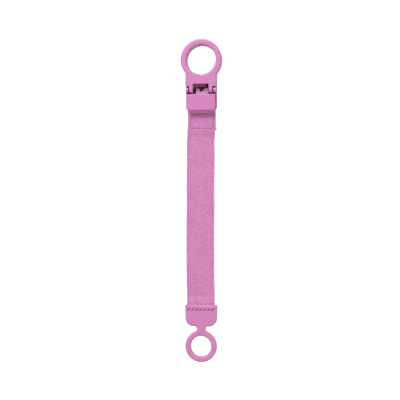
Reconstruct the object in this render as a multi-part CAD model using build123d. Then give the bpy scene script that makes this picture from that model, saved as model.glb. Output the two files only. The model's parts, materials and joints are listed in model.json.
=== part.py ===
from build123d import *

import os
from math import atan2, cos, degrees, hypot, radians, sin, tan

os.makedirs("parts", exist_ok=True)

# A soother strap that lies on its back: ring clip, woven tape and silicone end.
# Millimetres. +X is to the right, +Y runs along the strap towards the clip, +Z points to the front.
# The origin is at the bottom centre of the whole object.

# Woven tape
tape_w = 19.2
tape_t = 1.1
tape_side_gap = 0.1
tape_bar_gap = 0.05
ply_gap = 0.08
strap_free_len = 134.2
fold_len = 16.0
fold_past = 0.3
tape_slope = 30
tape_step_angle = 14
tape_rise_past = 1.5
tape_in_cap = 11.0
tape_bend_radii = [3.5, 4.0, 4.0, 8.0, 5.0]

# Clip: two ring jaws and a cam lever on one hinge pin
ring_r_in = 10.0
ring_w = 3.9
body_proud = 0.2
neck_blend_r = 3.5
rear_t = 3.7
front_t = 4.0
jaw_gap = 0.4
edge_round = 1.1
edge_break = 0.3
pin_to_ring = 20.5

# Hinge: ears of the rear jaw outside, arms of the front jaw inside them, the lever's knuckle between
pin_r = 0.8
pin_running = 0.05
pin_recess = 0.15
ear_wall = 1.0
ear_t = 1.7
ear_gap = 0.8
arm_t = 2.4
shoulder_drop = 2.35
window_top = 4.1
knuckle_gap_left = 2.4
knuckle_gap_right = 0.25
knuckle_wall = 0.6

# Cam: a lobe on the lever and the shelf of the front jaw that it bears on
lobe_reach = 2.2
lobe_nose_r = 0.7
lobe_angle = -45
cam_running = 0.2
shelf_t = 0.9
shelf_from = -150
shelf_to = -52
ledge_drop = 2.5
shelf_slot = 2.3

# Lever
lever_proud = 0.1
lever_len = 13.7
lever_t = 2.2
lever_top_gap = 0.9
lever_corner_r = 1.5
lever_edge_r = 0.5
cut_out_from_left = 1.25
cut_out_from_right = 2.4
cut_out_h = 3.5
cut_out_corner = 0.5
cut_out_nose = 0.4
rib_t = 0.9
rib_h = 1.2
rib_len = 4.6
rib_inset = 3.4

# Base between the ears and the tape bar
cheek_t = 0.6
floor_t = 1.5
cheek_under_lever = 0.4
bar_r = 1.2
pin_to_bar = 10.9
cheek_past_bar = 1.3
slot_gap = 0.35

# Gripping teeth round the free half of the rear ring
tooth_count = 17
tooth_step = 15
tooth_w = 1.2
tooth_len = 1.4
tooth_h = 0.9
tooth_break = 0.4
groove_side = 0.3
groove_depth = 0.8

# Sewing thread
thread_r = 0.2
thread_hole_gap = 0.1
thread_lift = 0.05
thread_bend = 0.03
stitch_pitch = 2.2
stitch_share = 0.7
loop_seam_inset = 1.8
loop_seam_from_flat = 0.75
loop_seam_end_gap = 1.6
cap_stitch_count = 7
cap_stitch_inset = 1.35
cap_stitch_len = 1.6
cap_stitch_rise = 1.05
cap_stitch_from_mouth = 3.1
cap_groove_depth = 0.5
cap_groove_side = 0.12

# Silicone end: cap, neck and soother ring
cap_wall = 1.45
cap_side = 1.4
cap_taper = 0.35
cap_len = 14.65
cap_mouth_r = 1.0
cap_low_r = 5.5
pocket_gap = 0.05
pocket_side_gap = 0.3
neck_w = 5.8
neck_len = 2.75
neck_r = 1.65
soother_r_in = 6.95
soother_ring_w = 3.8
silicone_edge_r = 1.3

# How far joined solids sink into each other, and how far a cut runs past a face
sink = 0.5
past = 1.0

# Widths that follow the tape
cheek_inner = tape_w / 2 + tape_side_gap
base_half_w = cheek_inner + cheek_t
body_half_w = base_half_w + body_proud
ear_inner = base_half_w - ear_t
arm_outer = ear_inner - ear_gap
arm_inner = arm_outer - arm_t
knuckle_left = -arm_inner + knuckle_gap_left
knuckle_right = arm_inner - knuckle_gap_right
lever_half_w = tape_w / 2 + lever_proud
loop_seam_half_w = tape_w / 2 - loop_seam_inset
cap_stitch_pitch = (tape_w - 2 * cap_stitch_inset) / (cap_stitch_count - 1)
cap_top_w = tape_w + 2 * cap_side
cap_low_w = cap_top_w - 2 * cap_taper
ring_r_out = ring_r_in + ring_w
soother_r_out = soother_r_in + soother_ring_w

# Heights that follow
front_z = rear_t + jaw_gap
clip_top = front_z + front_t
barrel_r = front_t / 2
pin_z = clip_top - barrel_r
shelf_r_in = lobe_reach + lobe_nose_r + cam_running
shelf_r_out = shelf_r_in + shelf_t
thread_bend_r = thread_r + thread_bend
ear_r = pin_r + ear_wall
knuckle_r = pin_r + pin_running + knuckle_wall
end_t = tape_t + 2 * cap_wall
tape_low = 2 * thread_r + thread_lift
tape_mid = tape_low + tape_t / 2
loop_r = bar_r + tape_bar_gap + tape_t / 2
bar_z = tape_mid + loop_r
cheek_top = clip_top - lever_t - cheek_under_lever

# Places along the strap, with the whole length centred on the origin
above_pin = pin_to_ring + ring_r_out
below_pin = pin_to_bar + strap_free_len + cap_len + neck_len + 2 * soother_r_out
pin_y = (below_pin - above_pin) / 2
ring_y = pin_y + pin_to_ring
bar_y = pin_y - pin_to_bar
mouth_y = bar_y - strap_free_len
cap_low_y = mouth_y - cap_len
soother_y = cap_low_y - neck_len - soother_r_out
ledge_out = window_top + shelf_t
step_y = pin_y + hypot(ledge_out, ledge_drop + shelf_t) + cam_running

# The tape leaves the bar at a slope, and lies flat on its folded end from flat_y down
slope = radians(tape_slope)
tape_upper = tape_mid + tape_t + ply_gap
leave_y = bar_y - loop_r * sin(slope)
leave_z = bar_z + loop_r * cos(slope)
flat_y = leave_y - (leave_z - tape_upper) / tan(slope)
fold_y = bar_y - fold_len


def block(x0, x1, y0, y1, z0, z1):
    """A box between two corners."""
    return Pos((x0 + x1) / 2, (y0 + y1) / 2, (z0 + z1) / 2) * Box(x1 - x0, y1 - y0, z1 - z0)


def rod(radius, x0, x1, y, z):
    """A cylinder along X."""
    return Pos((x0 + x1) / 2, y, z) * Rot(0, 90, 0) * Cylinder(radius, x1 - x0)


def across(sketch, x0, x1):
    """A sketch drawn in (Y, Z), extruded along X."""
    return Pos(x0, 0, 0) * extrude(Plane.YZ * sketch, x1 - x0)


def jaw_plate(y_low, z0, thickness):
    """The ring blended into the straight body, which ends at y_low."""
    disc = Pos(0, ring_y) * Circle(ring_r_out)
    body = Pos(0, (ring_y + y_low) / 2) * Rectangle(2 * body_half_w, ring_y - y_low)
    outline = disc + body
    crotch = [v for v in outline.vertices() if abs(abs(v.X) - body_half_w) < 0.01 and v.Y > y_low + past]
    outline = fillet(crotch, neck_blend_r)
    plate = extrude(Pos(0, 0, z0) * outline, thickness)
    return plate - Pos(0, ring_y, z0) * Cylinder(ring_r_in, 3 * thickness)


def ray(angle):
    """A point well outside the cam shelf, at an angle about the hinge pin."""
    reach = 3 * shelf_r_out
    return reach * cos(radians(angle)), reach * sin(radians(angle))


def rim(face, y_low):
    """The outer edges of a face, without the straight end at y_low."""
    return [e for e in face.outer_wire().edges() if e.center().Y > y_low + 0.1]


def make_front_jaw():
    shoulder_y = pin_y + shoulder_drop
    jaw = jaw_plate(shoulder_y, front_z, front_t)
    jaw = fillet(rim(jaw.faces().sort_by(Axis.Z)[-1], shoulder_y), edge_round)
    jaw = fillet(jaw.faces().sort_by(Axis.Z)[-1].inner_wires()[0].edges(), edge_round)
    jaw = fillet(rim(jaw.faces().sort_by(Axis.Z)[0], shoulder_y), edge_break)
    # window between the arms
    window_y = pin_y + window_top
    jaw -= block(-arm_inner, arm_inner, pin_y, window_y, 0, clip_top + past)
    # hinge arms with round ends
    for side in (-1, 1):
        x0, x1 = sorted((side * arm_inner, side * arm_outer))
        jaw += block(x0, x1, pin_y, window_y, front_z, clip_top)
        jaw += rod(barrel_r, x0, x1, pin_y, pin_z)
    # shelf under the lever's cam, hung from the body by a ledge and open on its right
    axis = Pos(pin_y, pin_z)
    mid = (shelf_from + shelf_to) / 2
    wedge = axis * Polygon((0, 0), ray(shelf_from), ray(mid), ray(shelf_to), align=None)
    shelf = wedge & (axis * (Circle(shelf_r_out) - Circle(shelf_r_in)))
    ledge_z = -ledge_drop - shelf_t / 2
    ledge = Pos(ledge_out / 2, ledge_z) * Rectangle(ledge_out, shelf_t)
    hanger_h = front_z - pin_z + ledge_drop + shelf_t + edge_break
    hanger = Pos(ledge_out - shelf_t / 2, -ledge_drop - shelf_t + hanger_h / 2) * Rectangle(shelf_t, hanger_h)
    shelf += axis * (ledge + hanger - Circle(shelf_r_in))
    jaw += across(shelf, -arm_inner, arm_inner - shelf_slot)
    jaw -= rod(pin_r + pin_running, -base_half_w, base_half_w, pin_y, pin_z)
    # groove that the rear ring's teeth close into
    groove_mid = (ring_r_in + ring_r_out) / 2
    groove_half = tooth_len / 2 + groove_side
    groove = Cylinder(groove_mid + groove_half, groove_depth)
    groove -= Cylinder(groove_mid - groove_half, groove_depth)
    jaw -= Pos(0, ring_y, front_z + groove_depth / 2) * groove
    return jaw


def make_rear_jaw():
    jaw = jaw_plate(step_y, 0, rear_t)
    jaw = fillet(rim(jaw.faces().sort_by(Axis.Z)[0], step_y), edge_round)
    jaw = chamfer(jaw.faces().sort_by(Axis.Z)[0].inner_wires()[0].edges(), edge_break)
    jaw = fillet(rim(jaw.faces().sort_by(Axis.Z)[-1], step_y), edge_break)
    # floor under the hinge, up to the slot that the tape passes through
    slot_y = bar_y + loop_r + tape_t / 2 + slot_gap
    jaw += block(-base_half_w, base_half_w, slot_y, step_y + past, 0, floor_t)
    # cheeks, ears and the tape bar
    end_y = bar_y - cheek_past_bar
    cheek = Pos((end_y + pin_y) / 2, cheek_top / 2) * Rectangle(pin_y - end_y, cheek_top)
    cheek = fillet(cheek.vertices().group_by(Axis.X)[0], cheek_past_bar)
    tail = step_y - pin_y + sink
    cheek += Pos(pin_y + tail / 2, rear_t / 2) * Rectangle(tail, rear_t)
    ear = Pos(pin_y, pin_z / 2) * Rectangle(2 * ear_r, pin_z) + Pos(pin_y, pin_z) * Circle(ear_r)
    for side in (-1, 1):
        x0, x1 = sorted((side * cheek_inner, side * base_half_w))
        jaw += across(cheek, x0, x1)
        x0, x1 = sorted((side * ear_inner, side * base_half_w))
        jaw += across(ear, x0, x1)
    jaw += rod(bar_r, -base_half_w, base_half_w, bar_y, bar_z)
    jaw -= rod(pin_r, -2 * base_half_w, 2 * base_half_w, pin_y, pin_z)
    # teeth round the free half of the ring
    tooth_mid = (ring_r_in + ring_r_out) / 2
    tooth = Pos(tooth_mid, 0, rear_t) * Box(tooth_len, tooth_w, 2 * tooth_h)
    tooth = chamfer(tooth.edges().filter_by(Axis.Y).group_by(Axis.Z)[-1], tooth_break)
    first = 90 - tooth_step * (tooth_count - 1) / 2
    for i in range(tooth_count):
        jaw += Pos(0, ring_y, 0) * Rot(0, 0, first + i * tooth_step) * tooth
    return jaw


def make_lever():
    top_y = pin_y - barrel_r - lever_top_gap
    low_y = pin_y - lever_len
    under = clip_top - lever_t
    flap = Pos(0, (top_y + low_y) / 2) * Rectangle(2 * lever_half_w, top_y - low_y)
    flap = fillet(flap.vertices().group_by(Axis.Y)[0], lever_corner_r)
    flap = fillet(flap.vertices().group_by(Axis.Y)[-1], edge_break)
    lever = extrude(Pos(0, 0, under) * flap, lever_t)
    lever = fillet(lever.faces().sort_by(Axis.Z)[-1].edges(), lever_edge_r)
    lever = chamfer(lever.faces().sort_by(Axis.Z)[0].edges(), edge_break)
    # knuckle that slopes down from the flap to its barrel, and its cam lobe
    bridge = Polygon(
        (top_y - past, under),
        (pin_y, under),
        (pin_y, pin_z + knuckle_r),
        (top_y - past, clip_top),
        align=None,
    )
    lever += across(bridge, knuckle_left, knuckle_right)
    lever += rod(knuckle_r, knuckle_left, knuckle_right, pin_y, pin_z)
    lobe = Pos(lobe_reach / 2, 0) * Rectangle(lobe_reach, 2 * lobe_nose_r)
    lobe += Pos(lobe_reach, 0) * Circle(lobe_nose_r)
    lever += across(Pos(pin_y, pin_z) * Rot(0, 0, lobe_angle) * lobe, knuckle_left, knuckle_right)
    # cut-out that shows the pin, and the pin's bore
    half = cut_out_h / 2
    left = knuckle_left + cut_out_from_left
    right = knuckle_right - cut_out_from_right
    middle = (left + right) / 2
    shape = Polygon(
        (left, half - cut_out_corner),
        (left + cut_out_corner, half),
        (right - cut_out_corner, half),
        (right, half - cut_out_corner),
        (middle + cut_out_nose, -half),
        (middle - cut_out_nose, -half),
        align=None,
    )
    lever -= extrude(Pos(0, pin_y, 0) * shape, clip_top + past, both=True)
    lever -= rod(pin_r + pin_running, knuckle_left - past, knuckle_right + past, pin_y, pin_z)
    # stiffening ribs under the flap
    rib_y = top_y - sink
    rib_x = lever_half_w - rib_inset
    for x in (-rib_x, 0, rib_x):
        x0, x1 = x - rib_t / 2, x + rib_t / 2
        lever += block(x0, x1, rib_y - rib_len, rib_y, under - rib_h, under + edge_break)
    return lever


def make_pin():
    half = base_half_w - pin_recess
    pin = rod(pin_r, -half, half, pin_y, pin_z)
    return chamfer(pin.edges(), pin_r / 5)


def tape_line():
    """The tape's middle line in (Y, Z): the folded end, round the bar, and down to the cap."""
    step = tan(radians(tape_step_angle))
    cap_mid = end_t / 2
    under = Line((fold_y, tape_mid), (bar_y, tape_mid))
    turn = CenterArc((bar_y, bar_z), loop_r, -90, 180 + tape_slope)
    drop = (tape_upper - tape_mid) / step
    rise = (cap_mid - tape_mid) / step
    over = FilletPolyline(
        (leave_y, leave_z),
        (flat_y, tape_upper),
        (fold_y - fold_past, tape_upper),
        (fold_y - fold_past - drop, tape_mid),
        (mouth_y + tape_rise_past + rise, tape_mid),
        (mouth_y + tape_rise_past, cap_mid),
        (mouth_y - tape_in_cap, cap_mid),
        radius=tape_bend_radii,
    )
    return [under, turn, over]


def running_thread(holes, z_top, z_low):
    """Thread that runs over the top from an odd hole to the next, and under the work to the one after."""
    points = []
    high = True
    for start, end in zip(holes, holes[1:]):
        z = z_top if high else z_low
        points += [(start[0], start[1], z), (end[0], end[1], z)]
        high = not high
    path = FilletPolyline(*points, radius=thread_bend_r)
    begin = path.position_at(0)
    section = Plane(origin=begin, z_dir=path.tangent_at(0)) * Circle(thread_r)
    return sweep(section, path)


def holes_through(holes, z0, z1):
    radius = thread_r + thread_hole_gap
    return [Pos(x, y, (z0 + z1) / 2) * Cylinder(radius, z1 - z0) for x, y in holes]


def loop_seam_holes():
    """Needle holes round a rectangle, two for each stitch."""
    high = flat_y - loop_seam_from_flat
    low = fold_y + loop_seam_end_gap
    w = loop_seam_half_w
    corners = [(-w, high), (w, high), (w, low), (-w, low), (-w, high)]
    holes = []
    for (x0, y0), (x1, y1) in zip(corners, corners[1:]):
        length = abs(x1 - x0) + abs(y1 - y0)
        count = round(length / stitch_pitch)
        for i in range(count):
            for share in (i, i + stitch_share):
                t = share / count
                holes.append((x0 + t * (x1 - x0), y0 + t * (y1 - y0)))
    return holes


def cap_seam_holes():
    """Needle holes of the slanted stitches across the cap."""
    y = mouth_y - cap_stitch_from_mouth
    holes = []
    for i in range(cap_stitch_count):
        x = (i - (cap_stitch_count - 1) / 2) * cap_stitch_pitch
        holes.append((x - cap_stitch_len / 2, y - cap_stitch_rise / 2))
        holes.append((x + cap_stitch_len / 2, y + cap_stitch_rise / 2))
    return holes


def make_webbing():
    band = trace(tape_line(), line_width=tape_t)
    tape = across(band, -tape_w / 2, tape_w / 2)
    for hole in holes_through(loop_seam_holes(), -past, tape_mid + 2 * tape_t):
        tape -= hole
    for hole in holes_through(cap_seam_holes(), -past, end_t + past):
        tape -= hole
    return tape


def make_silicone_end():
    cap = Polygon(
        (-cap_top_w / 2, mouth_y),
        (-cap_low_w / 2, cap_low_y),
        (cap_low_w / 2, cap_low_y),
        (cap_top_w / 2, mouth_y),
        align=None,
    )
    cap = fillet(cap.vertices().group_by(Axis.Y)[-1], cap_mouth_r)
    cap = fillet(cap.vertices().group_by(Axis.Y)[0], cap_low_r)
    neck = Pos(0, (cap_low_y + soother_y) / 2) * Rectangle(neck_w, cap_low_y - soother_y + 2 * past)
    ring = Pos(0, soother_y) * Circle(soother_r_out)
    outline = cap + neck + ring
    corners = [v for v in outline.vertices() if abs(abs(v.X) - neck_w / 2) < 0.01]
    outline = fillet(corners, neck_r)
    end = extrude(outline, end_t)
    end -= Pos(0, soother_y, end_t / 2) * Cylinder(soother_r_in, 2 * end_t)
    end = fillet(end.faces().sort_by(Axis.Z)[-1].edges(), silicone_edge_r)
    end = fillet(end.faces().sort_by(Axis.Z)[0].edges(), silicone_edge_r)
    # pocket for the tape
    half_w = tape_w / 2 + pocket_side_gap
    half_t = tape_t / 2 + pocket_gap
    mid = end_t / 2
    bottom_y = mouth_y - tape_in_cap - pocket_gap
    end -= block(-half_w, half_w, bottom_y, mouth_y + past, mid - half_t, mid + half_t)
    for hole in holes_through(cap_seam_holes(), -past, end_t + past):
        end -= hole
    # grooves that the stitches lie in, by turns on the front and on the back
    holes = cap_seam_holes()
    half_groove = thread_r + cap_groove_side
    for i, (start, finish) in enumerate(zip(holes, holes[1:])):
        run = Vector(*finish) - Vector(*start)
        middle = (Vector(*start) + Vector(*finish)) / 2
        turn = degrees(atan2(run.Y, run.X))
        groove = Rectangle(run.length, 2 * half_groove)
        groove += Pos(run.length / 2, 0) * Circle(half_groove) + Pos(-run.length / 2, 0) * Circle(half_groove)
        z = end_t - cap_groove_depth if i % 2 == 0 else 0
        end -= extrude(Pos(middle.X, middle.Y, z) * Rot(0, 0, turn) * groove, cap_groove_depth)
    return end


def make_loop_thread():
    z_low = tape_low - thread_r - thread_lift
    z_top = tape_low + 2 * tape_t + ply_gap + thread_r + thread_lift
    return running_thread(loop_seam_holes(), z_top, z_low)


def make_cap_thread():
    depth = cap_groove_depth - thread_r - thread_lift
    return running_thread(cap_seam_holes(), end_t - depth, depth)


pieces = {
    "front_jaw": make_front_jaw(),
    "rear_jaw": make_rear_jaw(),
    "cam_lever": make_lever(),
    "hinge_pin": make_pin(),
    "webbing": make_webbing(),
    "loop_thread": make_loop_thread(),
    "silicone_end": make_silicone_end(),
    "cap_thread": make_cap_thread(),
}

for name, piece in pieces.items():
    export_step(piece, f"parts/{name}.step")

print("tape length", round(sum(edge.length for edge in tape_line()), 1))
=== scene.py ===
import json
from math import cos, pi, radians, sin, tan

import bmesh
import bpy
from mathutils import Matrix, Vector, noise


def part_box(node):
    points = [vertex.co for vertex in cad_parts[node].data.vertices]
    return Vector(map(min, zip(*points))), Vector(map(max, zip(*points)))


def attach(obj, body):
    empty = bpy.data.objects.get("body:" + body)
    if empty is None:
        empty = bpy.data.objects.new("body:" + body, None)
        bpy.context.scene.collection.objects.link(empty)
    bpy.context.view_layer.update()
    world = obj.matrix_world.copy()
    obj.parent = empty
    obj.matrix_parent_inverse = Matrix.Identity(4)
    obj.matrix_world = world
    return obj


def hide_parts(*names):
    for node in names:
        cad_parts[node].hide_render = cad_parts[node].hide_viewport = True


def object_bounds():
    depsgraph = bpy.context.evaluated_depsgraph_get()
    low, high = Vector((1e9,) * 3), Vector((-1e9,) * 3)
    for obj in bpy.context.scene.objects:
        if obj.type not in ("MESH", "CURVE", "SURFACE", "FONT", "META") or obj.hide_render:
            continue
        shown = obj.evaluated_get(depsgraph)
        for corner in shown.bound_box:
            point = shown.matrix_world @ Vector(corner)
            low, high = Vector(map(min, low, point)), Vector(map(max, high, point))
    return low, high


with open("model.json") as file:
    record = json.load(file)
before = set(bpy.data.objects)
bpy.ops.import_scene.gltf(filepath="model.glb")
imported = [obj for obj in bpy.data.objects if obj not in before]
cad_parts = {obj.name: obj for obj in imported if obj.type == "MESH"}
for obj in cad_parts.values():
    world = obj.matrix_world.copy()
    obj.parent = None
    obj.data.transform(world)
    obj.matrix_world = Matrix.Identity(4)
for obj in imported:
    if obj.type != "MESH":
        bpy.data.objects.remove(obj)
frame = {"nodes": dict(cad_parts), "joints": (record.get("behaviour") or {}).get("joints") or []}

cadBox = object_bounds()
nodes = frame["nodes"]
joints = {j["name"]: j for j in frame["joints"]}
mm = 0.001

# places that everything else is laid out from
pinY = joints["lever_lift"]["pos_m"][1]
barY, barZ = joints["strap_swing"]["pos_m"][1:]
endLow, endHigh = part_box("silicone_end")
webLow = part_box("webbing")[0]
mouthY = endHigh.y
print("frame loaded:", len(nodes), "CAD nodes")

# most values of a noise texture lie between these two
noiseSpan = (0.3, 0.7)


# small helpers for building shader trees
def fillAll(tree, node, values):
    # a socket is linked, anything else is set on the input itself
    for name, value in values.items():
        if isinstance(value, bpy.types.NodeSocket):
            tree.links.new(value, node.inputs[name])
        else:
            node.inputs[name].default_value = value


def addNode(tree, kind, inputs=None, **settings):
    node = tree.nodes.new(kind)
    for name, value in settings.items():
        setattr(node, name, value)
    fillAll(tree, node, inputs or {})
    return node


def calc(tree, operation, a, b=0.5, c=0.5):
    return addNode(tree, "ShaderNodeMath", {0: a, 1: b, 2: c}, operation=operation).outputs[0]


def mixTone(tree, factor, a, b):
    # the colour sockets of a Mix node are numbers 6 and 7
    return addNode(tree, "ShaderNodeMix", {0: factor, 6: a, 7: b}, data_type="RGBA").outputs[2]


def between(tree, factor, a, b):
    return addNode(tree, "ShaderNodeMix", {"Factor": factor, "A": a, "B": b}).outputs[0]


def ramp(tree, value, low, high, start=0.0, end=1.0):
    inputs = {"Value": value, "From Min": low, "From Max": high, "To Min": start, "To Max": end}
    return addNode(tree, "ShaderNodeMapRange", inputs).outputs["Result"]


def mottle(tree, coords, scale, detail=2.0):
    inputs = {"Vector": coords, "Scale": scale, "Detail": detail}
    return addNode(tree, "ShaderNodeTexNoise", inputs).outputs["Fac"]


def stretched(tree, coords, scale):
    return addNode(tree, "ShaderNodeMapping", {"Vector": coords, "Scale": scale}).outputs[0]


def bumpFrom(tree, inputs):
    # heights are in metres, so the bump is neither weakened nor scaled
    return addNode(tree, "ShaderNodeBump", {"Strength": 1.0, "Distance": 1.0, **inputs}).outputs["Normal"]


def newGroup(name, inputs, outputs):
    group = bpy.data.node_groups.new(name, "ShaderNodeTree")
    for title, kind, *default in inputs:
        socket = group.interface.new_socket(title, in_out="INPUT", socket_type="NodeSocket" + kind)
        if default:
            socket.default_value = default[0]
    for title, kind in outputs:
        group.interface.new_socket(title, in_out="OUTPUT", socket_type="NodeSocket" + kind)
    return group, group.nodes.new("NodeGroupInput").outputs, group.nodes.new("NodeGroupOutput").inputs


def placeGroup(tree, group, values):
    node = tree.nodes.new("ShaderNodeGroup")
    node.node_tree = group
    fillAll(tree, node, values)
    return node.outputs


def makeToneDrift():
    # slow drift and fine speckle between a deep and a light tone of one colour
    group, given, out = newGroup(
        "toneDrift",
        [("Coords", "Vector"), ("Deep", "Color"), ("Light", "Color"),
         ("Drift Scale", "Float"), ("Speck Scale", "Float"), ("Speck Share", "Float")],
        [("Color", "Color"), ("Mask", "Float")])
    drift = mottle(group, given["Coords"], given["Drift Scale"], detail=4.0)
    speck = mottle(group, given["Coords"], given["Speck Scale"])
    deepBelow, lightAbove = 0.32, 0.68
    mask = ramp(group, between(group, given["Speck Share"], drift, speck), deepBelow, lightAbove)
    group.links.new(mixTone(group, mask, given["Deep"], given["Light"]), out["Color"])
    group.links.new(mask, out["Mask"])
    return group


def makeMouldSkin():
    # spark-eroded mould grain, broad sink marks and softened edges
    group, given, out = newGroup(
        "mouldSkin",
        [("Coords", "Vector"), ("Grain Scale", "Float", 3000.0), ("Grain Depth", "Float", 0.01 * mm),
         ("Sink Scale", "Float", 90.0), ("Sink Depth", "Float", 0.03 * mm),
         ("Edge Radius", "Float", 0.2 * mm)],
        [("Normal", "Vector"), ("Edge", "Float"), ("Grain", "Float")])
    grain = mottle(group, given["Coords"], given["Grain Scale"], detail=3.0)
    sink = mottle(group, given["Coords"], given["Sink Scale"], detail=1.0)
    height = calc(group, "ADD", calc(group, "MULTIPLY", grain, given["Grain Depth"]),
                  calc(group, "MULTIPLY", sink, given["Sink Depth"]))
    soft = addNode(group, "ShaderNodeBevel", {"Radius": given["Edge Radius"]}, samples=6).outputs["Normal"]
    # where the softened normal turns away from the face there is an edge
    flat = addNode(group, "ShaderNodeNewGeometry").outputs["Normal"]
    facing = addNode(group, "ShaderNodeVectorMath", {0: soft, 1: flat}, operation="DOT_PRODUCT")
    edgeStarts, edgeIsFull = 0.999, 0.93
    edge = ramp(group, facing.outputs["Value"], edgeStarts, edgeIsFull)
    group.links.new(bumpFrom(group, {"Height": height, "Normal": soft}), out["Normal"])
    group.links.new(edge, out["Edge"])
    group.links.new(grain, out["Grain"])
    return group


def makeLint():
    # sparse pale specks of dust and lint, in loose patches
    group, given, out = newGroup(
        "lint", [("Coords", "Vector"), ("Scale", "Float"), ("Size", "Float")], [("Mask", "Float")])
    cells = addNode(group, "ShaderNodeTexVoronoi", {"Vector": given["Coords"], "Scale": given["Scale"]})
    dots = calc(group, "LESS_THAN", cells.outputs["Distance"], given["Size"])
    patchScale, cleanBelow, dustyAbove = 130.0, 0.55, 0.7
    patches = ramp(group, mottle(group, given["Coords"], patchScale), cleanBelow, dustyAbove)
    group.links.new(calc(group, "MULTIPLY", dots, patches), out["Mask"])
    return group


def makeTapeWeave():
    # plain weave on a UV map laid out in metres: warp ends along V, weft picks along U
    group, given, out = newGroup(
        "tapeWeave",
        [("Coords", "Vector"), ("Ends Per Metre", "Float"), ("Picks Per Metre", "Float")],
        [("Height", "Float"), ("Yarn", "Float"), ("Fibre", "Float")])
    apart = addNode(group, "ShaderNodeSeparateXYZ", {0: given["Coords"]}).outputs
    u = calc(group, "MULTIPLY", apart[0], given["Ends Per Metre"])
    v = calc(group, "MULTIPLY", apart[1], given["Picks Per Metre"])
    endNumber = calc(group, "FLOOR", u)
    pickNumber = calc(group, "FLOOR", v)
    acrossEnd = calc(group, "SINE", calc(group, "MULTIPLY", calc(group, "FRACT", u), pi))
    acrossPick = calc(group, "SINE", calc(group, "MULTIPLY", calc(group, "FRACT", v), pi))
    parity = calc(group, "PINGPONG", calc(group, "ADD", endNumber, pickNumber), 1.0)
    # the yarn on top of a crossing is full along its own way and round across it
    roundness, dip = 0.6, 0.45
    tops = []
    for across, along in ((acrossEnd, acrossPick), (acrossPick, acrossEnd)):
        crown = calc(group, "POWER", across, roundness)
        tops.append(calc(group, "MULTIPLY", crown, calc(group, "MULTIPLY_ADD", along, dip, 1 - dip)))
    height = between(group, parity, *tops)
    pair = addNode(group, "ShaderNodeCombineXYZ", {0: endNumber, 1: pickNumber}).outputs[0]
    yarnEnd = addNode(group, "ShaderNodeTexWhiteNoise", {"W": endNumber}, noise_dimensions="1D")
    yarnPick = addNode(group, "ShaderNodeTexWhiteNoise", {"Vector": pair}, noise_dimensions="2D")
    yarn = between(group, parity, yarnEnd.outputs["Value"], yarnPick.outputs["Value"])
    fine, coarse = 9000, 900
    streaks = [mottle(group, stretched(group, given["Coords"], scale), 1.0, detail=3.0)
               for scale in ((fine, coarse, 1), (coarse, fine, 1))]
    fibre = between(group, parity, *streaks)
    for title, socket in (("Height", height), ("Yarn", yarn), ("Fibre", fibre)):
        group.links.new(socket, out[title])
    return group


toneDrift = makeToneDrift()
mouldSkin = makeMouldSkin()
lint = makeLint()
tapeWeave = makeTapeWeave()


def startMaterial(name, uvMap=None):
    material = bpy.data.materials.new(name)
    material.use_nodes = True
    tree = material.node_tree
    if uvMap:
        coords = addNode(tree, "ShaderNodeUVMap", uv_map=uvMap).outputs["UV"]
    else:
        coords = addNode(tree, "ShaderNodeTexCoord").outputs["Object"]
    return material, tree, tree.nodes["Principled BSDF"], coords


def placeTone(tree, coords, look):
    return placeGroup(tree, toneDrift, {
        "Coords": coords, "Deep": look["deep"], "Light": look["light"], "Drift Scale": look["driftScale"],
        "Speck Scale": look["speckScale"], "Speck Share": look["speckShare"]})


def addDust(tree, coords, base, look):
    specks = placeGroup(tree, lint, {"Coords": coords, "Scale": look["dustScale"], "Size": look["dustSize"]})
    return mixTone(tree, calc(tree, "MULTIPLY", specks["Mask"], look["dustShare"]), base, look["dust"])


def addMesh(name, bm):
    mesh = bpy.data.meshes.new(name)
    bm.to_mesh(mesh)
    bm.free()
    made = bpy.data.objects.new(name, mesh)
    bpy.context.collection.objects.link(made)
    return made


mouldedClip = {
    "deep": (0.396, 0.133, 0.292, 1), "light": (0.425, 0.145, 0.315, 1),
    "driftScale": 70.0, "speckScale": 1800.0, "speckShare": 0.4,
    "rubbed": (0.50, 0.20, 0.385, 1), "rubbedShare": 0.35,
    "dust": (0.9, 0.75, 0.85, 1), "dustScale": 420.0, "dustSize": 0.04, "dustShare": 0.4,
    "roughness": (0.34, 0.46), "specular": 0.6,
    # the flap's knuckle gets painted shade, from 3 mm below the pin to full 1.2 mm above it, and the flap has
    # its own specular level
    "soil": (0.075, 0.015, 0.048, 1), "soilSpecular": 0.32,
    "soilBelowPin": 3.0 * mm, "soilAbovePin": 1.2 * mm,
}


def makeClipPlastic(name, shadedKnuckle=False):
    material, tree, shader, coords = startMaterial(name)
    tone = placeTone(tree, coords, mouldedClip)
    skin = placeGroup(tree, mouldSkin, {"Coords": coords})
    rubbed = calc(tree, "MULTIPLY", skin["Edge"], mouldedClip["rubbedShare"])
    base = mixTone(tree, rubbed, tone["Color"], mouldedClip["rubbed"])
    base = addDust(tree, coords, base, mouldedClip)
    if shadedKnuckle:
        # painted shade on the knuckle, growing along Y to full just above the pin
        along = addNode(tree, "ShaderNodeSeparateXYZ", {0: coords}).outputs[1]
        soil = ramp(tree, along, pinY - mouldedClip["soilBelowPin"], pinY + mouldedClip["soilAbovePin"])
        base = mixTone(tree, soil, base, mouldedClip["soil"])
    fillAll(tree, shader, {
        "Base Color": base, "Normal": skin["Normal"],
        "Roughness": ramp(tree, skin["Grain"], *noiseSpan, *mouldedClip["roughness"]),
        "Specular IOR Level": mouldedClip["soilSpecular" if shadedKnuckle else "specular"]})
    return material


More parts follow.
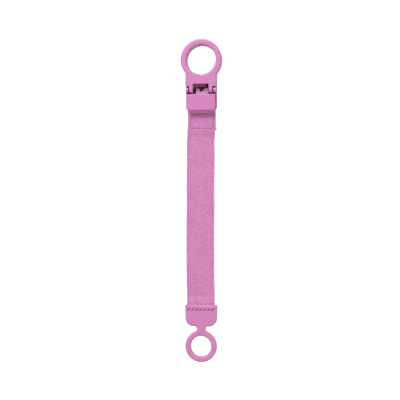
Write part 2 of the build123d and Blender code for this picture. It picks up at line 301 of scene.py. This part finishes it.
siliconeEnd = {
    "deep": (0.40, 0.137, 0.297, 1), "light": (0.43, 0.15, 0.32, 1),
    "driftScale": 110.0, "speckScale": 2400.0, "speckShare": 0.3,
    "dust": (0.53, 0.35, 0.465, 1), "dustScale": 650.0, "dustSize": 0.07, "dustShare": 0.5,
    "skin": {"Grain Scale": 4200.0, "Grain Depth": 0.008 * mm, "Sink Scale": 140.0, "Sink Depth": 0.05 * mm},
    "roughness": (0.5, 0.66),
    "shader": {"Specular IOR Level": 0.4, "Sheen Weight": 0.08, "Sheen Roughness": 0.5,
               "Subsurface Weight": 0.08, "Subsurface Radius": (1.0, 0.5, 0.7), "Subsurface Scale": 0.8 * mm},
}


def makeSilicone():
    material, tree, shader, coords = startMaterial("mattSilicone")
    tone = placeTone(tree, coords, siliconeEnd)
    skin = placeGroup(tree, mouldSkin, {"Coords": coords, **siliconeEnd["skin"]})
    fillAll(tree, shader, {
        "Base Color": addDust(tree, coords, tone["Color"], siliconeEnd), "Normal": skin["Normal"],
        "Roughness": ramp(tree, skin["Grain"], *noiseSpan, *siliconeEnd["roughness"]),
        **siliconeEnd["shader"]})
    return material


# the steel is near black: painted shade that keeps the pin dark, with no glint, down in its hole
hingeSteel = {
    "deep": (0.007, 0.008, 0.009, 1), "light": (0.022, 0.025, 0.026, 1),
    "driftScale": 900.0, "speckScale": 9000.0, "speckShare": 0.6,
    # drawing the wire leaves marks that run along it
    "drawn": (0.05, 1.0, 1.0), "markDepth": 0.004 * mm, "roughness": (0.4, 0.6),
}


def makePinSteel():
    material, tree, shader, coords = startMaterial("drawnPinSteel")
    tone = placeTone(tree, stretched(tree, coords, hingeSteel["drawn"]), hingeSteel)
    marks = calc(tree, "MULTIPLY", tone["Mask"], hingeSteel["markDepth"])
    fillAll(tree, shader, {
        "Base Color": tone["Color"], "Normal": bumpFrom(tree, {"Height": marks}), "Metallic": 1.0,
        "Roughness": ramp(tree, tone["Mask"], 0.0, 1.0, *hingeSteel["roughness"])})
    return material


wovenTape = {
    "deep": (0.367, 0.118, 0.27, 1), "light": (0.565, 0.232, 0.437, 1),
    "driftScale": 420.0, "speckScale": 2600.0, "speckShare": 0.4, "yarnShare": 0.28,
    # each span is two values of a pattern and the share of a colour at each of them
    # crossing is painted shade, laid into the low places round each yarn crossing and into the furrow
    "crossing": (0.24, 0.06, 0.168, 1), "crossingSpan": (0.55, 0.1, 0.0, 0.75),
    "fibreSpan": (0.35, 0.7, 0.0, 0.35), "fibreDepth": 0.02 * mm, "yarnDepth": 0.07 * mm,
    "fleck": (0.293, 0.085, 0.216, 1), "fleckScale": (1500, 820, 1), "fleckSpan": (0.5, 0.68, 0.0, 0.6),
    "bandScale": 95.0, "bandSpan": (0.45, 0.7, 0.0, 0.22),
    "selvedge": (0.616, 0.277, 0.485, 1), "selvedgeFull": 0.2 * mm, "selvedgeShare": 0.75,
    "furrowIn": 1.5 * mm, "furrowHalf": 0.28 * mm, "furrowSpan": (0.42, 0.6, 0.0, 0.5),
    "roughness": (0.72, 0.9),
    "shader": {"Specular IOR Level": 0.25, "Sheen Weight": 0.1, "Sheen Roughness": 0.45,
               "Sheen Tint": (1.0, 0.72, 0.9, 1)},
}

# the tape, as it is cut: its middle line repeats the route that the strap's frame fixes
tapeCut = {
    "width": 19.2 * mm, "thick": 1.1 * mm, "ends": 32, "foldLength": 16.0 * mm, "plyGap": 0.08 * mm,
    "slope": radians(30), "step": radians(14), "stepPast": 0.3 * mm, "inCap": 11.0 * mm,
    "levelBefore": 1.5 * mm, "bends": (3.5 * mm, 4.0 * mm, 4.0 * mm, 8.0 * mm, 5.0 * mm),
    "weaveDepth": 0.07 * mm, "pillowPower": 0.7,
    "selvedge": 0.8 * mm, "edgeRound": 2.2, "edgeThin": 0.25, "edgeRipple": 0.12 * mm,
    # slack and sideways drift grow between the first two lengths and fade towards the cap
    "slackWave": 0.22 * mm, "swayRate": 38, "liftRate": (55, 60), "slackFrom": (40 * mm, 50 * mm),
    "slackFade": (0, 12 * mm), "drift": 0.85 * mm, "driftInCap": 0.25 * mm,
    "driftFrom": (34 * mm, 46 * mm), "driftFade": (1 * mm, 16 * mm),
    "flare": 0.6 * mm, "flareLength": 3.5 * mm,
}


def makeTapeMaterial():
    look, width = wovenTape, tapeCut["width"]
    material, tree, shader, coords = startMaterial("wovenTape", "tapeFlat")
    weave = placeGroup(tree, tapeWeave, {
        "Coords": coords, "Ends Per Metre": tapeCut["ends"] / width,
        "Picks Per Metre": tapeCut["picks"] / tapeCut["length"]})
    yarnTone = mixTone(tree, weave["Yarn"], look["deep"], look["light"])
    base = mixTone(tree, look["yarnShare"], placeTone(tree, coords, look)["Color"], yarnTone)
    base = mixTone(tree, ramp(tree, weave["Fibre"], *look["fibreSpan"]), base, look["light"])
    # heathered dark flecks along the warp, and slow bands where the dye took deeper
    fleck = mottle(tree, stretched(tree, coords, look["fleckScale"]), 1.0)
    base = mixTone(tree, ramp(tree, fleck, *look["fleckSpan"]), base, look["fleck"])
    band = mottle(tree, coords, look["bandScale"])
    base = mixTone(tree, ramp(tree, band, *look["bandSpan"]), base, look["deep"])
    # the selvedge is paler, with the painted shade of a broken furrow beside it
    edge = width / 2
    across = addNode(tree, "ShaderNodeSeparateXYZ", {0: coords}).outputs[0]
    fromMiddle = calc(tree, "ABSOLUTE", calc(tree, "SUBTRACT", across, edge))
    pale = ramp(tree, fromMiddle, edge - tapeCut["selvedge"], edge - look["selvedgeFull"],
                0.0, look["selvedgeShare"])
    base = mixTone(tree, pale, base, look["selvedge"])
    fromFurrow = calc(tree, "ABSOLUTE", calc(tree, "SUBTRACT", fromMiddle, edge - look["furrowIn"]))
    furrow = calc(tree, "LESS_THAN", fromFurrow, look["furrowHalf"])
    broken = calc(tree, "MULTIPLY", furrow, ramp(tree, fleck, *look["furrowSpan"]))
    base = mixTone(tree, broken, base, look["crossing"])
    # painted shade where the weave is low between crossings
    base = mixTone(tree, ramp(tree, weave["Height"], *look["crossingSpan"]), base, look["crossing"])
    height = calc(tree, "ADD", calc(tree, "MULTIPLY", weave["Height"], look["yarnDepth"]),
                  calc(tree, "MULTIPLY", weave["Fibre"], look["fibreDepth"]))
    fillAll(tree, shader, {
        "Base Color": base, "Normal": bumpFrom(tree, {"Height": height}),
        "Roughness": ramp(tree, weave["Fibre"], *noiseSpan, *look["roughness"]), **look["shader"]})
    return material


def straightSpan(a, b):
    way = (b - a).normalized()
    return (b - a).length, lambda s: (a + way * s, way)


def arcSpan(centre, begin, end, turn):
    arm = begin - centre
    radius = arm.length
    side = 1 if arm.cross(end - centre) > 0 else -1

    def place(s):
        a = side * s / radius
        out = Vector((arm.x * cos(a) - arm.y * sin(a), arm.x * sin(a) + arm.y * cos(a)))
        return centre + out, Vector((-out.y, out.x)).normalized() * side
    return radius * turn, place


def roundedLine(points, radii):
    # straight runs and tangent arcs in (y, z), as (length, place function) spans
    spans = []
    here = Vector(points[0])
    for point, radius, after in zip(points[1:], radii, points[2:]):
        corner = Vector(point)
        back = (here - corner).normalized()
        ahead = (Vector(after) - corner).normalized()
        turn = pi - back.angle(ahead)
        cut = radius * tan(turn / 2)
        begin, end = corner + back * cut, corner + ahead * cut
        centre = corner + (back + ahead).normalized() * (radius / cos(turn / 2))
        spans += [straightSpan(here, begin), arcSpan(centre, begin, end, turn)]
        here = end
    spans.append(straightSpan(here, Vector(points[-1])))
    return spans


def tapeSpans():
    low = webLow.z + tapeCut["thick"] / 2
    high = low + tapeCut["thick"] + tapeCut["plyGap"]
    middle = (endLow.z + endHigh.z) / 2
    loopR = barZ - low
    slope, step = tapeCut["slope"], tan(tapeCut["step"])
    foldY = barY - tapeCut["foldLength"]
    leave = Vector((barY - loopR * sin(slope), barZ + loopR * cos(slope)))
    flatY = leave.x - (leave.y - high) / tan(slope)
    stepY = foldY - tapeCut["stepPast"]
    levelY = mouthY + tapeCut["levelBefore"]
    underBar = Vector((barY, low))
    spans = [straightSpan(Vector((foldY, low)), underBar),
             arcSpan(Vector((barY, barZ)), underBar, leave, pi + slope)]
    points = [leave, (flatY, high), (stepY, high), (stepY - (high - low) / step, low),
              (levelY + (middle - low) / step, low), (levelY, middle), (mouthY - tapeCut["inCap"], middle)]
    return spans + roundedLine(points, tapeCut["bends"])


def walk(spans, s):
    # place and direction at a length along the line
    for length, place in spans[:-1]:
        if s <= length:
            return place(s)
        s -= length
    return spans[-1][1](s)


tapeLine = tapeSpans()
tapeCut["length"] = sum(length for length, place in tapeLine)
tapeCut["picks"] = round(tapeCut["length"] / tapeCut["width"] * tapeCut["ends"])


def pillow(across, along):
    # height of the woven surface over one crossing, from 0 at its corners to 1 at its middle
    return abs(sin(pi * across) * sin(pi * along)) ** tapeCut["pillowPower"]


def ease(value, low, high):
    return min(1.0, max(0.0, (value - low) / (high - low)))


def layRow(s):
    # where one row across the tape lies: its place, direction, sideways shift, slack and flare
    place, way = walk(tapeLine, s)
    toMouth = tapeCut["length"] - tapeCut["inCap"] - s
    loose = ease(s, *tapeCut["slackFrom"]) * ease(toMouth, *tapeCut["slackFade"])
    sway = noise.noise(Vector((s * tapeCut["swayRate"], 0.3, 0))) * tapeCut["slackWave"] * loose
    home = ease(toMouth, *tapeCut["driftFade"])
    shift = tapeCut["driftInCap"] + (tapeCut["drift"] - tapeCut["driftInCap"]) * home
    sway -= shift * ease(s, *tapeCut["driftFrom"])
    # the cut end under the front ply lies askew and is flared by the hot knife
    flare = tapeCut["flare"] * (1 - ease(s, 0, tapeCut["flareLength"])) / tapeCut["width"]
    sway += flare * tapeCut["width"] / 2
    return place, way, sway, loose, flare


def makeWebbing():
    width, length, depth = tapeCut["width"], tapeCut["length"], tapeCut["weaveDepth"]
    bm = bmesh.new()
    flat = bm.loops.layers.uv.new("tapeFlat")
    bmesh.ops.create_grid(bm, x_segments=2 * tapeCut["ends"], y_segments=2 * tapeCut["picks"], size=0.5)
    bmesh.ops.scale(bm, vec=(width, length, 1), verts=bm.verts)
    bmesh.ops.translate(bm, vec=(0, length / 2, 0), verts=bm.verts)
    body = tapeCut["thick"] - 2 * depth
    bmesh.ops.solidify(bm, geom=bm.faces[:], thickness=body)
    middle = sum(v.co.z for v in bm.verts) / len(bm.verts)
    for face in bm.faces:
        for loop in face.loops:
            loop[flat].uv = (loop.vert.co.x + width / 2, loop.vert.co.y)
    for v in bm.verts:
        across = (v.co.x / width + 0.5) * tapeCut["ends"]
        along = v.co.y / length * tapeCut["picks"]
        rise = pillow(across, along) * depth * 2 - depth
        # the selvedge thins to a rounded edge, where every second pick turns back in a small bump
        inFromEdge = max(0.0, 1 - (width / 2 - abs(v.co.x)) / tapeCut["selvedge"])
        thin = max(0.0, 1 - inFromEdge ** tapeCut["edgeRound"]) ** 0.5
        side = 1 if v.co.z > middle else -1
        v.co.z = side * (body / 2 + rise) * max(thin, tapeCut["edgeThin"])
        ripple = -0.5 * cos(pi * along) * tapeCut["edgeRipple"] * inFromEdge
        v.co.x += ripple * (1 if v.co.x > 0 else -1)
    rows = {}
    lengthRate, widthRate = tapeCut["liftRate"]
    for v in bm.verts:
        s = round(v.co.y, 7)
        if s not in rows:
            rows[s] = layRow(s)
        place, way, sway, loose, flare = rows[s]
        # the front of the tape is the outside of its loop round the bar
        place = place - Vector((-way.y, way.x)) * v.co.z
        lift = abs(noise.noise(Vector((s * lengthRate, v.co.x * widthRate, 2))))
        v.co = Vector((v.co.x * (1 + flare) + sway, place.x, place.y + lift * tapeCut["slackWave"] * loose))
    bmesh.ops.recalc_face_normals(bm, faces=bm.faces)
    made = addMesh("wovenTape", bm)
    made.data.shade_smooth()
    return made


tape = makeWebbing()
tape.data.materials.append(makeTapeMaterial())
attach(tape, "strap")
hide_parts("webbing")
print("woven tape made, length", round(tapeCut["length"], 4))


# sewing thread: three plies, twisted, that run in and out of the needle holes
sewing = {
    "radius": 0.2 * mm, "plies": 3, "plyShare": 0.52, "plySides": 6, "twist": 1.1 * mm, "turnSteps": 9,
    "bend": 0.26 * mm, "bendSteps": 4, "pitch": 2.2 * mm, "onTop": 0.7,
    "capPitch": 2.75 * mm, "capStitches": 7, "capStitch": 1.6 * mm,
    "driftScale": 900.0, "speckScale": 9000.0, "speckShare": 0.5,
    "fibreScale": 16000.0, "fibreDepth": 0.01 * mm, "roughness": (0.5, 0.7), "sheen": 0.15,
}
loopTones = {"deep": (0.41, 0.135, 0.31, 1), "light": (0.56, 0.215, 0.43, 1)}
# the cap's yarn is near black: painted shade of the needle holes the stitches sink into
capShadedTones = {"deep": (0.12, 0.014, 0.075, 1), "light": (0.21, 0.035, 0.14, 1)}


def makeThreadMaterial(name, tones):
    material, tree, shader, coords = startMaterial(name)
    tone = placeTone(tree, coords, {**sewing, **tones})
    fibres = calc(tree, "MULTIPLY", mottle(tree, coords, sewing["fibreScale"]), sewing["fibreDepth"])
    fillAll(tree, shader, {
        "Base Color": tone["Color"], "Normal": bumpFrom(tree, {"Height": fibres}),
        "Roughness": ramp(tree, tone["Mask"], 0.0, 1.0, *sewing["roughness"]),
        "Sheen Weight": sewing["sheen"]})
    return material


def loopHoles():
    low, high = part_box("loop_thread")
    r = sewing["radius"]
    w, top, bottom = high.x - r, high.y - r, low.y + r
    corners = [(-w, top), (w, top), (w, bottom), (-w, bottom), (-w, top)]
    holes = []
    for (x0, y0), (x1, y1) in zip(corners, corners[1:]):
        count = round((abs(x1 - x0) + abs(y1 - y0)) / sewing["pitch"])
        for i in range(count):
            for t in (i / count, (i + sewing["onTop"]) / count):
                holes.append((x0 + t * (x1 - x0), y0 + t * (y1 - y0)))
    return holes


def capHoles():
    low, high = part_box("cap_thread")
    r, half = sewing["radius"], sewing["capStitch"] / 2
    holes = []
    for i in range(sewing["capStitches"]):
        x = (i - (sewing["capStitches"] - 1) / 2) * sewing["capPitch"]
        holes += [(x - half, low.y + r), (x + half, high.y - r)]
    return holes


def threadRoute(holes, low, high):
    # over the front from an odd hole to the next, under the work to the one after
    points = []
    for i, (start, end) in enumerate(zip(holes, holes[1:])):
        z = high if i % 2 == 0 else low
        points += [Vector((*start, z)), Vector((*end, z))]
    return points


def roundRoute(points):
    radius, steps = sewing["bend"], sewing["bendSteps"]
    line = [points[0]]
    for before, corner, after in zip(points, points[1:], points[2:]):
        back, ahead = (before - corner).normalized(), (after - corner).normalized()
        a, b = corner + back * radius, corner + ahead * radius
        for k in range(steps + 1):
            t = k / steps
            line.append(a * (1 - t) ** 2 + corner * 2 * t * (1 - t) + b * t ** 2)
    line.append(points[-1])
    return line


def everything(bm):
    return bm.verts[:] + bm.edges[:] + bm.faces[:]


def spinYarn(bm, total):
    # a straight twisted yarn along X; returns the number of steps along it
    twist, turnSteps, plies = sewing["twist"], sewing["turnSteps"], sewing["plies"]
    plyRadius = sewing["radius"] * sewing["plyShare"]
    offset = sewing["radius"] - plyRadius
    tolerance = plyRadius * 0.01
    for k in range(plies):
        angle = 2 * pi * k / plies
        ring = bmesh.ops.create_circle(bm, segments=sewing["plySides"], radius=plyRadius)["verts"]
        bmesh.ops.rotate(bm, verts=ring, cent=(0, 0, 0), matrix=Matrix.Rotation(pi / 2, 3, "Y"))
        bmesh.ops.translate(bm, verts=ring, vec=(0, offset * cos(angle), offset * sin(angle)))
        edges = list({e for v in ring for e in v.link_edges})
        bmesh.ops.spin(bm, geom=ring + edges, cent=(0, 0, 0), axis=(1, 0, 0),
                       dvec=(twist / turnSteps, 0, 0), angle=2 * pi, steps=turnSteps)
    # one turn of the twist is doubled until it is long enough, and cut to length
    made = twist
    while made < total:
        more = bmesh.ops.duplicate(bm, geom=everything(bm))["geom"]
        verts = [g for g in more if isinstance(g, bmesh.types.BMVert)]
        bmesh.ops.translate(bm, vec=(made, 0, 0), verts=verts)
        made *= 2
    bmesh.ops.remove_doubles(bm, verts=bm.verts, dist=tolerance)
    steps = int(total / twist * turnSteps)
    bmesh.ops.bisect_plane(bm, geom=everything(bm), dist=tolerance, clear_outer=True,
                           plane_co=(steps * twist / turnSteps, 0, 0), plane_no=(1, 0, 0))
    return steps


def bendYarn(bm, line, lengths, steps):
    # the straight yarn is laid along its route, with a frame carried from run to run
    total = lengths[-1]
    ways = [(b - a).normalized() for a, b in zip(line, line[1:])]
    side = ways[0].orthogonal().normalized()
    sides = []
    for way in ways:
        side = (side - way * side.dot(way)).normalized()
        sides.append(side)
    stations = {}
    for v in bm.verts:
        stations.setdefault(round(v.co.x / total * steps), []).append(v)
    run = 0
    for number in sorted(stations):
        s = min(total, number * total / steps)
        while run < len(ways) - 1 and lengths[run + 1] < s:
            run += 1
        past = s - lengths[run]
        here = line[run] + ways[run] * past
        nextRun = min(run + 1, len(ways) - 1)
        t = past / max(1e-9, lengths[run + 1] - lengths[run])
        way = ways[run].lerp(ways[nextRun], 0.5 * t).normalized()
        a = (sides[run] - way * sides[run].dot(way)).normalized()
        b = way.cross(a)
        for v in stations[number]:
            v.co = here + a * v.co.y + b * v.co.z


def makeThread(name, points, material, body):
    line = roundRoute(points)
    lengths = [0.0]
    for a, b in zip(line, line[1:]):
        lengths.append(lengths[-1] + (b - a).length)
    bm = bmesh.new()
    steps = spinYarn(bm, lengths[-1])
    bendYarn(bm, line, lengths, steps)
    bmesh.ops.holes_fill(bm, edges=[e for e in bm.edges if e.is_boundary], sides=sewing["plySides"])
    bmesh.ops.recalc_face_normals(bm, faces=bm.faces)
    thread = addMesh(name, bm)
    thread.data.shade_smooth()
    thread.data.materials.append(material)
    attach(thread, body)
    return thread


def sew(name, node, holes, material):
    low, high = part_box(node)
    r = sewing["radius"]
    thread = makeThread(name, threadRoute(holes, low.z + r, high.z - r), material, "strap")
    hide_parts(node)


sew("loopStitching", "loop_thread", loopHoles(), makeThreadMaterial("loopYarn", loopTones))
sew("capStitching", "cap_thread", capHoles(), makeThreadMaterial("capYarn", capShadedTones))
print("stitching made")


def dress(node, material):
    cad = nodes[node]
    cad.data.materials.clear()
    cad.data.materials.append(material)


clipPlastic = makeClipPlastic("mouldedClipPlastic")
for node in ("front_jaw", "rear_jaw"):
    dress(node, clipPlastic)
dress("cam_lever", makeClipPlastic("mouldedFlapPlastic", shadedKnuckle=True))
dress("silicone_end", makeSilicone())
dress("hinge_pin", makePinSteel())
print("CAD nodes dressed")


studio = {
    # the floor is low enough to clear the strap when it hangs from the bar
    "floorSize": 3.0, "floorDrop": 0.18,
    # it looks white and throws less light back at the object than it shows
    "floorGlow": 0.9, "floorBounce": 0.3,
    "floorLook": {"Base Color": (0.2, 0.198, 0.2, 1), "Roughness": 0.9, "Specular IOR Level": 0.1,
                  "Emission Color": (1, 1, 1, 1)},
    # the room is dark overhead and bright all round, so that deep places stay deep
    "roomAround": 1.6, "roomAbove": 0.24, "roomFades": (0.35, 0.8),
    "keyPlace": (-0.35, 0.86, 0.86), "keySize": 0.46, "keyPower": 16.0,
    "fillPlace": (0.7, -0.3, 1.0), "fillSize": 0.9, "fillPower": 4.6,
}


def makeFloor():
    bm = bmesh.new()
    bmesh.ops.create_grid(bm, x_segments=1, y_segments=1, size=studio["floorSize"] / 2)
    bmesh.ops.translate(bm, vec=(0, 0, cadBox[0].z - studio["floorDrop"]), verts=bm.verts)
    floor = addMesh("paleFloor", bm)
    material, tree, shader, coords = startMaterial("paleFloor")
    seen = addNode(tree, "ShaderNodeLightPath").outputs["Is Camera Ray"]
    glow = ramp(tree, seen, 0, 1, studio["floorBounce"], studio["floorGlow"])
    fillAll(tree, shader, {**studio["floorLook"], "Emission Strength": glow})
    floor.data.materials.append(material)


def addLight(name, place, size, power):
    data = bpy.data.lights.new(name, "AREA")
    data.shape = "DISK"
    data.size = size
    data.energy = power
    light = bpy.data.objects.new(name, data)
    light.location = place
    # it points at the origin
    light.rotation_euler = (-light.location).to_track_quat("-Z", "Y").to_euler()
    bpy.context.collection.objects.link(light)


def makeRoom():
    world = bpy.data.worlds.new("softRoom")
    bpy.context.scene.world = world
    world.use_nodes = True
    tree = world.node_tree
    towards = addNode(tree, "ShaderNodeTexCoord").outputs["Generated"]
    upward = addNode(tree, "ShaderNodeSeparateXYZ", {0: towards}).outputs[2]
    strength = ramp(tree, upward, *studio["roomFades"], studio["roomAround"], studio["roomAbove"])
    fillAll(tree, tree.nodes["Background"], {"Color": (1, 1, 1, 1), "Strength": strength})


cameraSet = {
    "distance": 0.56, "fromRight": radians(8), "roll": radians(0.15), "field": 0.272,
    "target": (-0.0012, 0.0007, 0.001), "sensor": 36.0, "near": 0.01, "far": 20.0,
}


def addCamera():
    data = bpy.data.cameras.new("studioCamera")
    data.sensor_width = cameraSet["sensor"]
    data.lens = cameraSet["sensor"] * cameraSet["distance"] / cameraSet["field"]
    data.clip_start = cameraSet["near"]
    data.clip_end = cameraSet["far"]
    camera = bpy.data.objects.new("studioCamera", data)
    bpy.context.collection.objects.link(camera)
    turn = Matrix.Rotation(cameraSet["fromRight"], 4, "Y") @ Matrix.Rotation(cameraSet["roll"], 4, "Z")
    away = Matrix.Translation((0, 0, cameraSet["distance"]))
    camera.matrix_world = Matrix.Translation(cameraSet["target"]) @ turn @ away
    bpy.context.scene.camera = camera


makeFloor()
addLight("keyLight", studio["keyPlace"], studio["keySize"], studio["keyPower"])
addLight("fillLight", studio["fillPlace"], studio["fillSize"], studio["fillPower"])
makeRoom()
bpy.context.scene.view_settings.view_transform = "Standard"
addCamera()
print("studio ready")
